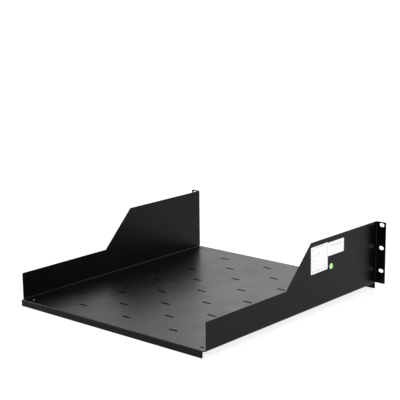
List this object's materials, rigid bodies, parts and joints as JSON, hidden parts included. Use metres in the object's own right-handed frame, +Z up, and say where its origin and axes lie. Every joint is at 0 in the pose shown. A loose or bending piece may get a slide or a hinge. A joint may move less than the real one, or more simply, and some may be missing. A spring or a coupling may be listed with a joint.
{
  "type": "rack shelf",
  "caption": "Open shelf for a 19-inch rack, folded from sheet steel, with stepped side walls, slotted mounting ears, vent slots in the base and lips at front and rear.",
  "frame": {"origin": "centre of the bounding box's bottom face: the middle of the shelf, in the plane of the lips' lower edges", "axes": "+Z up, -Y towards the ears and the front of the rack, +Y towards the open rear, +X to the wall without stickers"},
  "size_m": [0.4826, 0.5, 0.132],
  "materials": {
    "black_powder_coat": "semi-gloss black powder coat with a fine even texture",
    "white_paper": "smooth white sticker paper with faint grey print",
    "green_paper": "light green sticker paper"
  },
  "bodies": {
    "root": {"shelf": "black_powder_coat", "large_label": "white_paper", "small_label": "white_paper", "round_sticker": "green_paper"}
  },
  "joints": []
}
